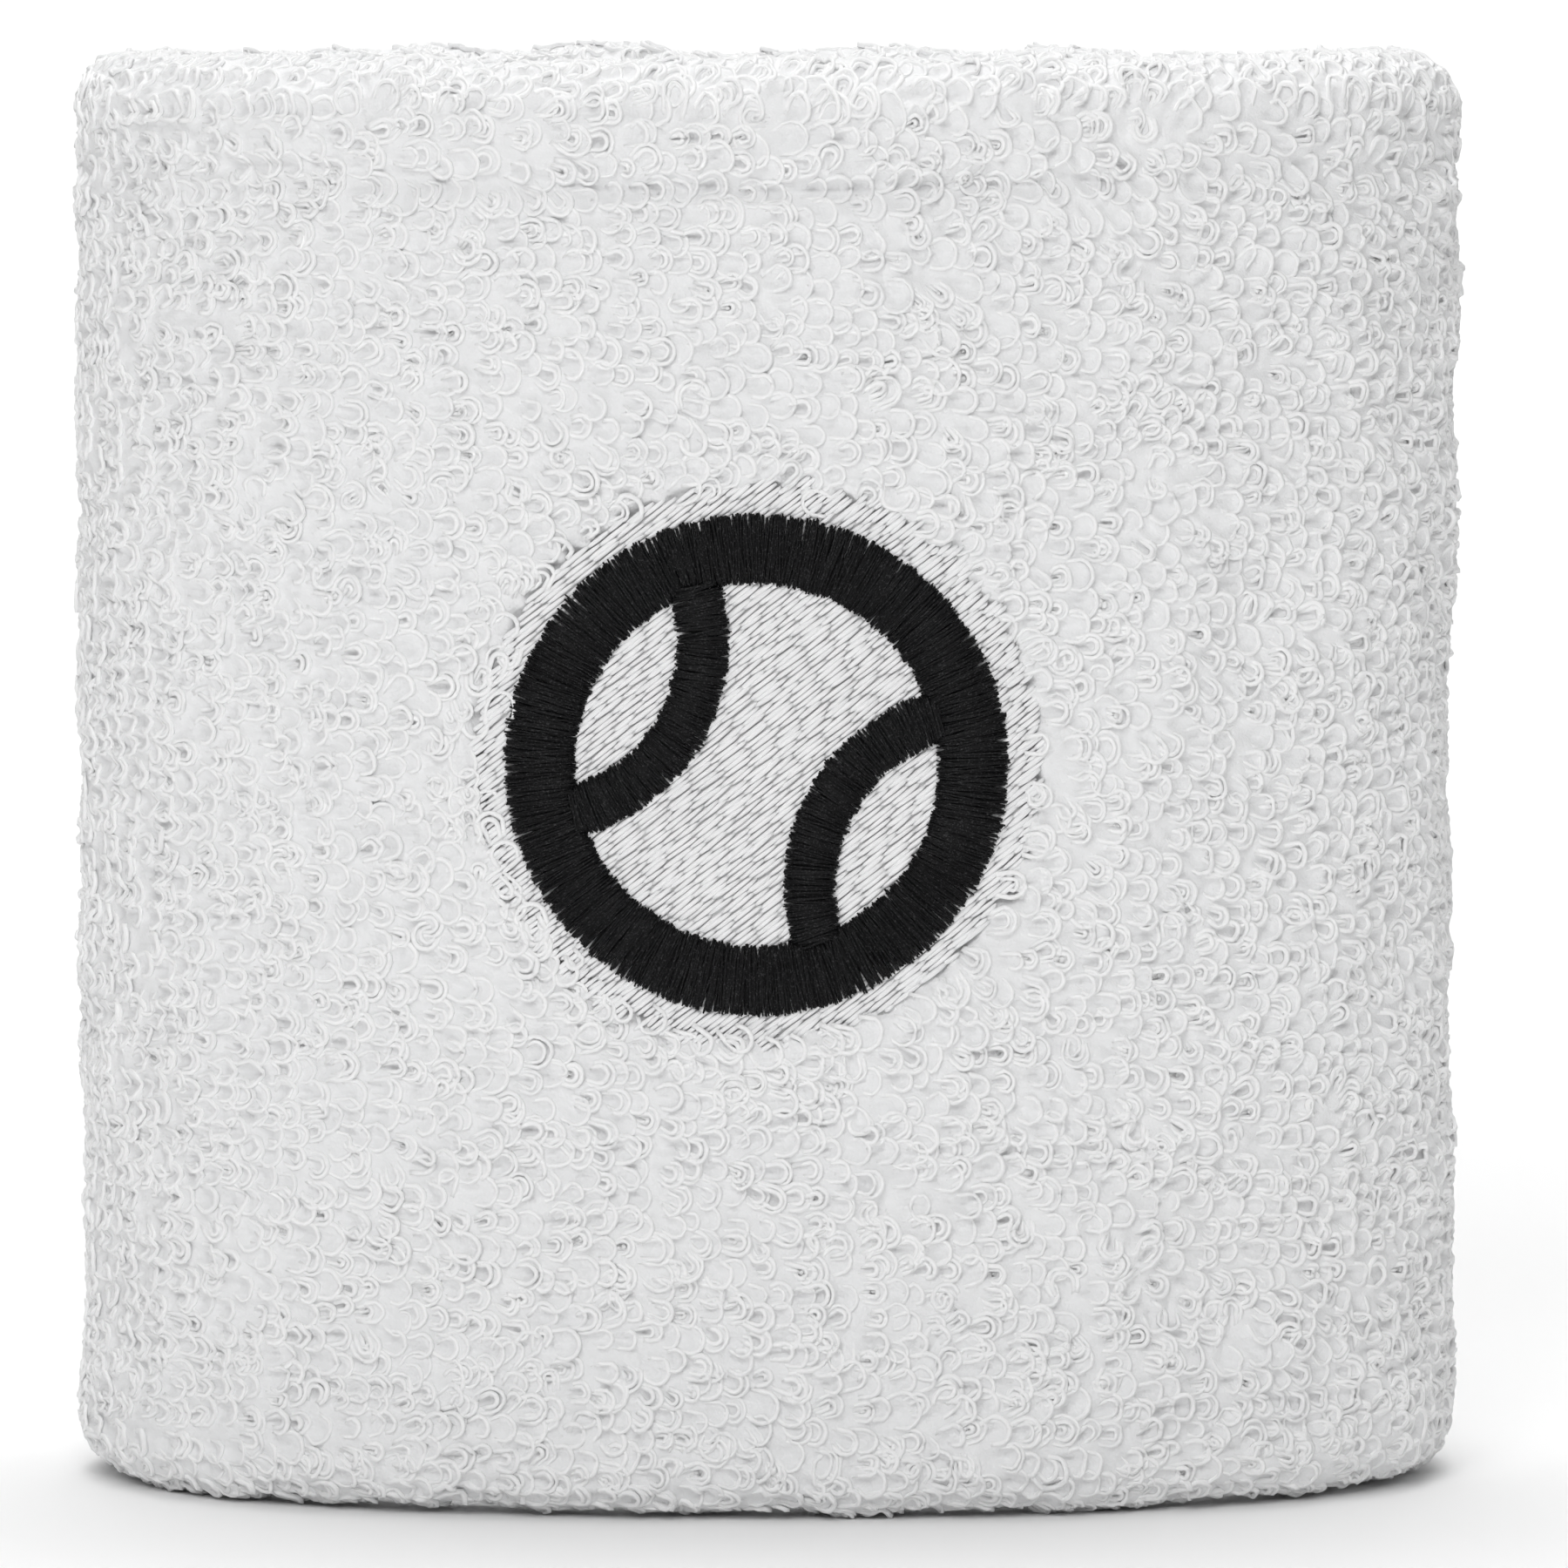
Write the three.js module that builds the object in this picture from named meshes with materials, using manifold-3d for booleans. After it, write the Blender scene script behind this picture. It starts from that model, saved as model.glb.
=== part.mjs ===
// Terry sweat wristband, standing upright on its folded edge.
// A knitted terry tube is folded double, so that its loops face out on both sides, and its two
// cut edges are linked together inside the wrist opening. A round emblem is embroidered on the
// front. Millimetres; +Z runs up the band, -Y is the front, the origin is the middle of the base.

import * as THREE from "three";
import { mergeVertices } from "three/addons/utils/BufferGeometryUtils.js";
import Module from "manifold-3d";

const wasm = await Module();
wasm.setup();

// Overall size of the band at rest.
const BAND_HEIGHT = 80;
const BAND_WIDTH = 77.5;
const BAND_DEPTH = 42;
const OVAL_EXPONENT = 2.2; // 2 is an ellipse, and a larger number is squarer
const OVAL_SEGMENTS = 48;

// The fabric, from the tips of its loops inwards.
const PILE_DEPTH = 1.6;
const PILE_TO_GROUND = 0.2;
const GROUND_THICKNESS = 0.6;
const LAYER_SPACE = 2.4; // between the backs of the outer and the inner layer
const FOLD_RADIUS = 2.7; // outside radius of the rolled edges, which leaves a flat between them
const SMALLEST_FOLD = 0.1;

// The closing seam, on the wrist side.
const SEAM_HEIGHT = 30;
const SEAM_GAP = 0.8; // between the two cut edges
const SEAM_GROOVE_WIDTH = 3.6; // where the stitches press the loops down
const SEAM_GROOVE_DEPTH = 0.9;
const SEAM_GROOVE_SLOPE = 0.6;
const LINKING_DIAMETER = 0.5;
const LINKING_REACH = 1.1; // how far a stitch goes to each side of the seam
const LINKING_STITCHES = 48;
const LINKING_CLEARANCE = 0.2;

// The covered elastic yarn, laid on the back of the ground knit from one cut edge to the other.
const ELASTIC_DIAMETER = 0.4;
const ELASTIC_PITCH = 20;
const ELASTIC_CLEARANCE = 0.2;
const ELASTIC_END = 2; // from the cut edges

// The emblem: a ball drawn in black stitches, as a round outline and its two curved seam lines.
const EMBLEM_X = -0.5;
const EMBLEM_Z = 41.5;
const EMBLEM_RADIUS = 13.5;
const EMBLEM_TILT = THREE.MathUtils.degToRad(-28);
const OUTLINE_WIDTH = 3.6;
const SEAM_LINE_RADIUS = 9.5;
const SEAM_LINE_OFFSET = 14; // from the ball's middle to the middle of each line's arc
const SEAM_LINE_WIDTH = 2.6;
const SEAM_LINE_CLEARANCE = 0.3; // from its ends to the outline
const BALL_STITCH_TOP = 0.2; // below the loop tips
const BALL_STITCH_THICKNESS = 0.25;
const PATCH_BORDER = 1.8; // how far the white stitches run past the ball
const PATCH_THICKNESS = 0.25;
const STITCH_CLEARANCE = 0.3; // between two layers of stitches, and to the pressed loops
const PATCH_SIDE_CLEARANCE = 0.35;

// Behind the emblem, between the two layers of fabric.
const BACKING_MARGIN = 2.2; // past the white stitches
const BACKING_THICKNESS = 0.2;
const BACKING_CLEARANCE = 0.2;
const BOBBIN_THICKNESS = 0.2;

const COLOUR = {
  cotton: 0xe6e7e8,
  ground: 0xd4d5d6,
  elastic: 0xf0efe9,
  whiteThread: 0xf2f3f3,
  blackThread: 0x1c1c1e,
  backing: 0xf7f7f4,
};

// Depths under the loop tips of what lies further in.
const GROUND_DEPTH = PILE_DEPTH + PILE_TO_GROUND;
const BACK_DEPTH = GROUND_DEPTH + GROUND_THICKNESS;
const WALL = 2 * BACK_DEPTH + LAYER_SPACE;
const ELASTIC_DEPTH = BACK_DEPTH + ELASTIC_CLEARANCE + ELASTIC_DIAMETER / 2;
const PATCH_TOP = BALL_STITCH_TOP + BALL_STITCH_THICKNESS + STITCH_CLEARANCE;
const PRESSED_DEPTH = PATCH_TOP + PATCH_THICKNESS + STITCH_CLEARANCE;
const BACKING_TOP = ELASTIC_DEPTH + ELASTIC_DIAMETER / 2 + BACKING_CLEARANCE;
const BOBBIN_TOP = BACKING_TOP + BACKING_THICKNESS + BACKING_CLEARANCE;
const PATCH_RADIUS = EMBLEM_RADIUS + PATCH_BORDER;
const BACKING_RADIUS = PATCH_RADIUS + BACKING_MARGIN;

// A power that keeps the sign of its base.
function signedPower(base, exponent) {
  return Math.sign(base) * Math.abs(base) ** exponent;
}

// The band's outline from above: a superellipse round the wrist opening, a wall's width further out.
class BandOval extends THREE.Curve {
  constructor() {
    super();
    this.halfWidth = BAND_WIDTH / 2 - WALL;
    this.halfDepth = BAND_DEPTH / 2 - WALL;
    this.arcLengthDivisions = 2000;
  }

  // A point on the wrist opening, and the direction that points away from the wrist there.
  wristPoint(t) {
    const angle = 2 * Math.PI * t;
    const across = signedPower(Math.cos(angle), 2 / OVAL_EXPONENT);
    const along = signedPower(Math.sin(angle), 2 / OVAL_EXPONENT);
    const outwards = new THREE.Vector3(
      signedPower(across, OVAL_EXPONENT - 1) / this.halfWidth,
      signedPower(along, OVAL_EXPONENT - 1) / this.halfDepth,
      0,
    );
    const point = new THREE.Vector3(this.halfWidth * across, this.halfDepth * along, 0);
    return { point, outwards: outwards.normalize() };
  }

  getPoint(t, target = new THREE.Vector3()) {
    const { point, outwards } = this.wristPoint(t);
    return target.copy(point).addScaledVector(outwards, WALL);
  }

  // The point at a share of a turn, a depth under the outer loop tips, and a height.
  place(turn, depth, height) {
    const { point, outwards } = this.wristPoint(this.getUtoTmapping(turn));
    return point.addScaledVector(outwards, WALL - depth).setZ(height);
  }
}

const oval = new BandOval();

// A closed anticlockwise outline of (depth, height) points, carried once round the oval. Depth
// runs towards the oval's middle, so the outline is taken backwards to keep its faces out.
function ring(outline) {
  const profile = [...outline, outline[0].clone()].reverse();
  const geometry = new THREE.LatheGeometry(profile, OVAL_SEGMENTS);
  const position = geometry.attributes.position;
  for (let i = 0; i < position.count; i += 1) {
    const step = Math.floor(i / profile.length) % OVAL_SEGMENTS;
    const { x: depth, y: height } = profile[i % profile.length];
    const point = oval.place(step / OVAL_SEGMENTS, depth, height);
    position.setXYZ(i, point.x, point.y, point.z);
  }
  return geometry;
}

// A path round the band that steps evenly in turns, so that a tube on it bends with the rings.
class TurningPath extends THREE.Curve {
  constructor(pointAt) {
    super();
    this.pointAt = pointAt;
  }

  getPoint(t, target = new THREE.Vector3()) {
    return target.copy(this.pointAt(t));
  }

  getPointAt(t, target) {
    return this.getPoint(t, target);
  }

  getTangentAt(t, target) {
    return this.getTangent(t, target);
  }
}

// A four-sided yarn along a path.
function yarn(pointAt, diameter, steps) {
  const section = new THREE.Shape();
  section.moveTo(diameter / 2, 0);
  section.lineTo(0, diameter / 2);
  section.lineTo(-diameter / 2, 0);
  section.lineTo(0, -diameter / 2);
  section.closePath();
  const extrudePath = new TurningPath(pointAt);
  return new THREE.ExtrudeGeometry(section, { steps, extrudePath, bevelEnabled: false });
}

// The way the fabric runs at a depth under its loop tips, as (depth, height): from the upper cut
// edge over the top fold, down the outside, round the bottom fold and up to the lower cut edge.
function fabricPath(depth, cutBack) {
  const radius = Math.max(FOLD_RADIUS - depth, SMALLEST_FOLD);
  const near = depth + radius;
  const far = WALL - near;
  const top = BAND_HEIGHT - near;
  const quarter = Math.PI / 2;
  const path = new THREE.Path();
  path.moveTo(WALL - depth, SEAM_HEIGHT + cutBack);
  path.absarc(far, top, radius, 0, quarter);
  path.absarc(near, top, radius, quarter, 2 * quarter);
  path.absarc(near, near, radius, 2 * quarter, 3 * quarter);
  path.absarc(far, near, radius, 3 * quarter, 4 * quarter);
  path.lineTo(WALL - depth, SEAM_HEIGHT - cutBack);
  return path;
}

// One layer of the folded fabric between two depths, open at the seam.
function foldedLayer(outerPoints, innerDepth) {
  const innerPoints = fabricPath(innerDepth, SEAM_GAP / 2).getPoints(1);
  return ring([...outerPoints, ...innerPoints.reverse()]);
}

// The outer face of the pile, which the linking stitches press down beside the seam.
function pileFace() {
  const points = fabricPath(0, SEAM_GROOVE_WIDTH / 2 + SEAM_GROOVE_SLOPE).getPoints(2);
  const pressed = WALL - SEAM_GROOVE_DEPTH;
  for (const [side, add] of [[1, "unshift"], [-1, "push"]]) {
    points[add](new THREE.Vector2(pressed, SEAM_HEIGHT + (side * SEAM_GROOVE_WIDTH) / 2));
    points[add](new THREE.Vector2(pressed, SEAM_HEIGHT + (side * SEAM_GAP) / 2));
  }
  return points;
}

function toSolid(geometry) {
  const bare = geometry.clone();
  bare.deleteAttribute("normal");
  bare.deleteAttribute("uv");
  const merged = mergeVertices(bare);
  const vertProperties = new Float32Array(merged.attributes.position.array);
  const triVerts = new Uint32Array(merged.index.array);
  return new wasm.Manifold(new wasm.Mesh({ numProp: 3, vertProperties, triVerts }));
}

function toGeometry(solid) {
  const { vertProperties, triVerts } = solid.getMesh();
  const geometry = new THREE.BufferGeometry();
  geometry.setAttribute("position", new THREE.BufferAttribute(vertProperties, 3));
  geometry.setIndex(new THREE.BufferAttribute(triVerts, 1));
  geometry.computeVertexNormals();
  return geometry;
}

// A round bar through the front half of the band, at a distance from the emblem's middle.
function frontBar(radius, distance = 0) {
  const outline = new THREE.Shape();
  const x = EMBLEM_X + distance * Math.cos(EMBLEM_TILT);
  const z = EMBLEM_Z + distance * Math.sin(EMBLEM_TILT);
  outline.absarc(x, z, radius, 0, 2 * Math.PI);
  const bar = new THREE.ExtrudeGeometry(outline, {
    depth: BAND_DEPTH,
    curveSegments: 40,
    bevelEnabled: false,
  });
  return toSolid(bar.rotateX(Math.PI / 2));
}

// A layer of the band's wall between two depths, tall enough to take in the emblem.
function emblemLayer(depth, thickness) {
  const low = EMBLEM_Z - BACKING_RADIUS - PATCH_SIDE_CLEARANCE;
  const high = EMBLEM_Z + BACKING_RADIUS + PATCH_SIDE_CLEARANCE;
  return toSolid(ring([
    new THREE.Vector2(depth + thickness, low),
    new THREE.Vector2(depth + thickness, high),
    new THREE.Vector2(depth, high),
    new THREE.Vector2(depth, low),
  ]));
}

function terryPile() {
  const pile = toSolid(foldedLayer(pileFace(), PILE_DEPTH));
  const hollow = emblemLayer(-STITCH_CLEARANCE, PRESSED_DEPTH + STITCH_CLEARANCE);
  const pressed = hollow.intersect(frontBar(PATCH_RADIUS + PATCH_SIDE_CLEARANCE));
  return toGeometry(pile.subtract(pressed));
}

function groundKnit() {
  const face = fabricPath(GROUND_DEPTH, SEAM_GAP / 2).getPoints(1);
  return foldedLayer(face, BACK_DEPTH);
}

function elasticYarn() {
  const route = fabricPath(ELASTIC_DEPTH, ELASTIC_END);
  const turns = route.getLength() / ELASTIC_PITCH;
  const pointAt = (t) => {
    const { x: depth, y: height } = route.getPoint(t);
    return oval.place((t * turns) % 1, depth, height);
  };
  return yarn(pointAt, ELASTIC_DIAMETER, Math.round(turns * OVAL_SEGMENTS));
}

function linkingThread() {
  const depth = WALL - SEAM_GROOVE_DEPTH + LINKING_CLEARANCE + LINKING_DIAMETER / 2;
  const round = 1 - 1 / LINKING_STITCHES;
  const pointAt = (t) => {
    const wave = Math.sin(2 * Math.PI * LINKING_STITCHES * round * t);
    return oval.place(round * t, depth, SEAM_HEIGHT + LINKING_REACH * wave);
  };
  return yarn(pointAt, LINKING_DIAMETER, 4 * (LINKING_STITCHES - 1));
}

function roundLayer(depth, thickness, radius) {
  return toGeometry(emblemLayer(depth, thickness).intersect(frontBar(radius)));
}

function ballLayer() {
  return emblemLayer(BALL_STITCH_TOP, BALL_STITCH_THICKNESS);
}

function ballOutline() {
  const inside = frontBar(EMBLEM_RADIUS - OUTLINE_WIDTH);
  return toGeometry(ballLayer().intersect(frontBar(EMBLEM_RADIUS)).subtract(inside));
}

// One curved line of the ball, which stops short of the outline at both ends.
function ballSeamLine(side) {
  const reach = frontBar(EMBLEM_RADIUS - OUTLINE_WIDTH - SEAM_LINE_CLEARANCE);
  const outer = frontBar(SEAM_LINE_RADIUS + SEAM_LINE_WIDTH / 2, side * SEAM_LINE_OFFSET);
  const inner = frontBar(SEAM_LINE_RADIUS - SEAM_LINE_WIDTH / 2, side * SEAM_LINE_OFFSET);
  return toGeometry(ballLayer().intersect(reach).intersect(outer).subtract(inner));
}

function piece(name, geometry, color, roughness) {
  const material = new THREE.MeshStandardMaterial({ color, roughness, metalness: 0 });
  const mesh = new THREE.Mesh(geometry, material);
  mesh.name = name;
  return mesh;
}

const wristband = new THREE.Group();
const backing = roundLayer(BACKING_TOP, BACKING_THICKNESS, BACKING_RADIUS);
const bobbin = roundLayer(BOBBIN_TOP, BOBBIN_THICKNESS, PATCH_RADIUS);
const patch = roundLayer(PATCH_TOP, PATCH_THICKNESS, PATCH_RADIUS);
wristband.add(
  piece("terry_pile", terryPile(), COLOUR.cotton, 0.95),
  piece("ground_knit", groundKnit(), COLOUR.ground, 0.9),
  piece("elastic_yarn", elasticYarn(), COLOUR.elastic, 0.6),
  piece("linking_thread", linkingThread(), COLOUR.whiteThread, 0.7),
  piece("emblem_backing", backing, COLOUR.backing, 0.9),
  piece("bobbin_thread", bobbin, COLOUR.whiteThread, 0.6),
  piece("white_stitch_patch", patch, COLOUR.whiteThread, 0.5),
  piece("ball_outline_stitches", ballOutline(), COLOUR.blackThread, 0.45),
  piece("ball_seam_stitches_left", ballSeamLine(-1), COLOUR.blackThread, 0.45),
  piece("ball_seam_stitches_right", ballSeamLine(1), COLOUR.blackThread, 0.45),
);

export default wristband;
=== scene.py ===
"""White terry sweat wristband with an embroidered ball, standing on a pale floor.

Lengths are in metres. The fabric is a tube folded double, so a place on it is a share of a turn
round the band and a distance along the fabric: from the upper cut edge inside, over the top fold,
down the outside, round the bottom fold and up to the lower cut edge.
"""

import math

import bpy
import numpy as np
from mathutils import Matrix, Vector


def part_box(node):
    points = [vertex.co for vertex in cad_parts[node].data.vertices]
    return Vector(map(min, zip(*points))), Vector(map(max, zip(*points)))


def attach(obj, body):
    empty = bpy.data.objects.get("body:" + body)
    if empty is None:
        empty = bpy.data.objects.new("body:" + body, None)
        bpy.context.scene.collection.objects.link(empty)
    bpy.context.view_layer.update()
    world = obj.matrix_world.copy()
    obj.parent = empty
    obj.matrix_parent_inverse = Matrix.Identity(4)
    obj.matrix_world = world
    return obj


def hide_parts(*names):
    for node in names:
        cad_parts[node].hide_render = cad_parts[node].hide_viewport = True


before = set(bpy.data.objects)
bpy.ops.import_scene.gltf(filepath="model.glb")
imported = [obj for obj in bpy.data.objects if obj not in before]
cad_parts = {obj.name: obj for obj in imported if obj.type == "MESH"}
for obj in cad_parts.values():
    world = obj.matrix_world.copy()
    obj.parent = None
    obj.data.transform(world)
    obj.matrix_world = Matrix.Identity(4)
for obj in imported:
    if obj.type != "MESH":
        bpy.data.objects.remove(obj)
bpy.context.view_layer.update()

MM = 0.001

# The band, from the frame.
PILE_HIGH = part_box("terry_pile")[1]
LINKING_LOW, LINKING_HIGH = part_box("linking_thread")
BALL_LOW, BALL_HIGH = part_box("ball_outline_stitches")
PATCH_LOW, PATCH_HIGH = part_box("white_stitch_patch")
BACKING_LOW, BACKING_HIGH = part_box("emblem_backing")
HEIGHT = PILE_HIGH.z
HALF_WIDTH = PILE_HIGH.x
HALF_DEPTH = PILE_HIGH.y
SEAM_HEIGHT = (LINKING_LOW.z + LINKING_HIGH.z) / 2
EMBLEM_X = (BALL_LOW.x + BALL_HIGH.x) / 2
EMBLEM_Z = (BALL_LOW.z + BALL_HIGH.z) / 2
BALL_RADIUS = (BALL_HIGH.x - BALL_LOW.x) / 2
PATCH_RADIUS = (PATCH_HIGH.x - PATCH_LOW.x) / 2
BACKING_RADIUS = (BACKING_HIGH.x - BACKING_LOW.x) / 2

# The fabric's make.
WALL = 7.2 * MM
OVAL_EXPONENT = 2.2
GROUND_THICKNESS = 0.6 * MM
GROUND_FACE = 1.65 * MM  # how deep the loops' feet are under their tips
FOLD_RADIUS = 3.4 * MM
CUT_EDGE = 0.4 * MM  # from each cut edge to the middle of the seam
LOWEST = 0.02 * MM  # no corner comes nearer to the floor
SLOW_LIFT = 0.16 * MM  # the fabric's long, low waves
QUICK_LIFT = 0.11 * MM  # its shorter ones
CREASE_DROP = 3.6 * MM  # from the top fold down to the crease under it

# The terry loops.
LOOPS_IN_A_ROW = 156
ROW_PITCH = 1.3 * MM
LOOP_WIDTH = 1.4 * MM
LOOP_REACH = 1.3 * MM
LOOP_RISE = 0.26 * MM  # how far the body of a loop lifts the bed
LOOP_ARM = (0.4, 1.1)  # how long its arms are, in millimetres
HOLLOW_DEPTH = (0.2, 0.42)  # the hollow in its middle, in millimetres
ARC_SHARE = 0.7  # the round part of a loop's strand; the rest is its two arms
STRAY_SHARE = 0.12  # the loops that lean far from their neighbours
CREST_LEAN = np.radians(42)  # how far loops on the top fold are turned
FREE_SHARE = 0.12  # the strands that stand off the bed
STRAND_RADIUS = 0.16 * MM
STRAND_STEP = 0.29 * MM  # from one strand of a loop to the next
STRAND_STAND = 0.03 * MM  # a strand's middle above the bed
BED_RISE = 1.0 * MM  # the matted pile between loops, above their feet
PRESSED_RISE = 0.45 * MM  # the same, under the emblem
BED_BACK = 0.1 * MM  # the underside of the matted pile, above the loops' feet
BED_GRAIN = 0.02 * MM
BED_STREAK = 0.05 * MM  # flattened fibres that run round the band
STREAK_CELLS = 5  # how many cells of the grid a streak is long
EDGE_DIPS = (0.3 * MM, 0.012 * MM)  # where one sheet of the bed goes under the next
CUT_INSET = 0.06 * MM  # how far the dipping ends of a cut edge are set back
CUT_MARGIN = 0.5 * MM  # no loop stands nearer to a cut edge
CELL = 0.2 * MM  # the grid that the bed's shape is worked out on

# The embroidery.
BALL_TILT = math.radians(-28)
OUTLINE_WIDTH = 3.6 * MM
SEAM_LINE_RADIUS = 9.5 * MM
SEAM_LINE_OFFSET = 14 * MM
SEAM_LINE_WIDTH = 2.6 * MM
FILL_ANGLE = math.radians(38)
FILL_RADIUS = PATCH_RADIUS - 0.3 * MM
FILL_DEPTH = 0.74 * MM  # the white stitches' ends, under the loops' tips
FILL_THREAD_RADIUS = 0.15 * MM
SATIN_DEPTH = 0.42 * MM  # the black stitches' ends, under the loops' tips
SATIN_THREAD_RADIUS = 0.085 * MM
SATIN_STEP = 0.045 * MM  # from one black stitch to the next
TOOTH_PITCH = 0.55 * MM
LAYER_DEPTH = 0.82 * MM  # the thin round layer under the white stitches
LAYER_THICKNESS = 0.15 * MM
BOBBIN_THREAD_RADIUS = 0.1 * MM

# The linking thread.
LINKING_STITCHES = 110
LINKING_REACH = 1.15 * MM  # above and below the seam
LINKING_THREAD_RADIUS = 0.2 * MM
STEPS_IN_A_STITCH = 8

rng = np.random.default_rng(20)


# ---------------------------------------------------------------- the folded fabric's shape

def signed_power(base, exponent):
    return np.sign(base) * np.abs(base) ** exponent


def wrist_outline(parameter):
    """Points on the wrist opening's oval, and the way out from it, for parameters of 0 to 1."""
    angle = 2 * np.pi * parameter
    across = signed_power(np.cos(angle), 2 / OVAL_EXPONENT)
    along = signed_power(np.sin(angle), 2 / OVAL_EXPONENT)
    half_width, half_depth = HALF_WIDTH - WALL, HALF_DEPTH - WALL
    out = np.stack([
        signed_power(across, OVAL_EXPONENT - 1) / half_width,
        signed_power(along, OVAL_EXPONENT - 1) / half_depth,
    ], -1)
    out /= np.linalg.norm(out, axis=-1, keepdims=True)
    return np.stack([half_width * across, half_depth * along], -1), out


def turn_table(samples=8000):
    """The share of the band's outer girth that lies before each parameter."""
    parameter = np.linspace(0, 1, samples)
    point, out = wrist_outline(parameter)
    outside = point + WALL * out
    run = np.concatenate([[0], np.cumsum(np.linalg.norm(np.diff(outside, axis=0), axis=1))])
    return parameter, run / run[-1], run[-1]


PARAMETER, SHARE, GIRTH = turn_table()


def around(turn):
    """Points on the wrist opening and the way out from it, at shares of a turn."""
    return wrist_outline(np.interp(turn % 1, SHARE, PARAMETER))


def fabric_route():
    """The fabric's face in a cut through the wall: distance along it, place and normal there."""
    radius = FOLD_RADIUS - GROUND_FACE
    near, far = FOLD_RADIUS, WALL - FOLD_RADIUS
    points, normals = [], []

    def straight(start, end, normal):
        for share in np.linspace(0, 1, 60):
            points.append(np.array(start) * (1 - share) + np.array(end) * share)
            normals.append(normal)

    def corners(places):
        for out, up, first in places:
            for angle in np.radians(np.linspace(first, first - 90, 40)):
                normals.append((np.cos(angle), np.sin(angle)))
                points.append(np.array((out, up)) + radius * np.array(normals[-1]))

    inside, outside = GROUND_FACE, WALL - GROUND_FACE
    straight((inside, SEAM_HEIGHT + CUT_EDGE), (inside, HEIGHT - FOLD_RADIUS), (-1, 0))
    corners([(near, HEIGHT - FOLD_RADIUS, 180), (far, HEIGHT - FOLD_RADIUS, 90)])
    straight((outside, HEIGHT - FOLD_RADIUS), (outside, FOLD_RADIUS), (1, 0))
    corners([(far, FOLD_RADIUS, 0), (near, FOLD_RADIUS, -90)])
    straight((inside, FOLD_RADIUS), (inside, SEAM_HEIGHT - CUT_EDGE), (-1, 0))
    points, normals = np.array(points), np.array(normals, float)
    run = np.concatenate([[0], np.cumsum(np.linalg.norm(np.diff(points, axis=0), axis=1))])
    return run, points, normals


ROUTE_RUN, ROUTE_POINT, ROUTE_NORMAL = fabric_route()
FABRIC_LENGTH = ROUTE_RUN[-1]
TOP_FOLD_START = HEIGHT - FOLD_RADIUS - SEAM_HEIGHT - CUT_EDGE
BOTTOM_FOLD_END = FABRIC_LENGTH - (SEAM_HEIGHT - CUT_EDGE - FOLD_RADIUS)
WAIST = (TOP_FOLD_START + BOTTOM_FOLD_END) / 2
OUTSIDE_TOP = TOP_FOLD_START + np.pi * (FOLD_RADIUS - GROUND_FACE) + WALL - 2 * FOLD_RADIUS

# The pile's surface is longer than the fabric's face in the folds.
SURFACE_RISE = BED_RISE + 0.2 * MM
SURFACE_POINT = ROUTE_POINT + ROUTE_NORMAL * SURFACE_RISE
SURFACE_STEPS = np.linalg.norm(np.diff(SURFACE_POINT, axis=0), axis=1)
SURFACE_RUN = np.concatenate([[0], np.cumsum(SURFACE_STEPS)])


def surface_stretch(along):
    """How many times longer the pile's surface is than the fabric's face at a place."""
    reach = 0.3 * MM
    ends = [np.interp(along + side * reach, ROUTE_RUN, SURFACE_RUN) for side in (-1, 1)]
    return np.maximum((ends[1] - ends[0]) / (2 * reach), 1.0)


class Waves:
    """A smooth random field on the fabric that closes on itself round the band."""

    def __init__(self, seed, longest, shortest, count=40):
        draw = np.random.default_rng(seed)
        most, least = GIRTH / shortest, GIRTH / longest
        size = np.exp(draw.uniform(np.log(least), np.log(most), count))
        heading = draw.uniform(0, 2 * np.pi, count)
        self.turns = np.round(size * np.cos(heading))
        self.along = size * np.sin(heading) / GIRTH
        self.phase = draw.uniform(0, 2 * np.pi, count)
        self.scale = (2 / count) ** 0.5

    def __call__(self, turn, along):
        total = np.zeros(np.broadcast(turn, along).shape)
        for turns, rate, phase in zip(self.turns, self.along, self.phase):
            total += np.sin(2 * np.pi * (turns * turn + rate * along) + phase)
        return total * self.scale


slow_waves = Waves(seed=1, longest=60 * MM, shortest=14 * MM)
quick_waves = Waves(seed=2, longest=14 * MM, shortest=5 * MM)
lean_waves = Waves(seed=3, longest=30 * MM, shortest=6 * MM)
edge_waves = Waves(seed=4, longest=4 * MM, shortest=1 * MM)


def unevenness(turn, along):
    """How far the fabric stands out of its plain shape: slow and quick waves, and a crease under
    the top fold with a roll above it, both deepest at the front."""
    lift = SLOW_LIFT * slow_waves(turn, along) + QUICK_LIFT * quick_waves(turn, along)
    crease_at = OUTSIDE_TOP + CREASE_DROP + 0.5 * MM * np.sin(2 * np.pi * 3 * turn)
    front = np.exp(-(((turn - 0.75) / 0.13) ** 2))
    crease = np.exp(-(((along - crease_at) / (0.8 * MM)) ** 2))
    roll = np.exp(-(((along - crease_at + 3.2 * MM) / (2.0 * MM)) ** 2))
    return lift - (0.25 + 0.65 * front) * MM * crease + (0.12 + 0.1 * front) * MM * roll


def fabric(turn, along, lift=0.0):
    """Points at a height over the fabric's face, and the way out of the face there."""
    point, out = around(turn)
    across = np.stack([np.interp(along, ROUTE_RUN, ROUTE_POINT[:, k]) for k in (0, 1)], -1)
    normal = np.stack([np.interp(along, ROUTE_RUN, ROUTE_NORMAL[:, k]) for k in (0, 1)], -1)
    normal /= np.linalg.norm(normal, axis=-1, keepdims=True)
    raised = across + normal * np.asarray(lift)[..., None]
    flat = point + out * raised[..., :1]
    place = np.concatenate([flat, raised[..., 1:]], -1)
    facing = np.concatenate([out * normal[..., :1], normal[..., 1:]], -1)
    return place, facing


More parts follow.
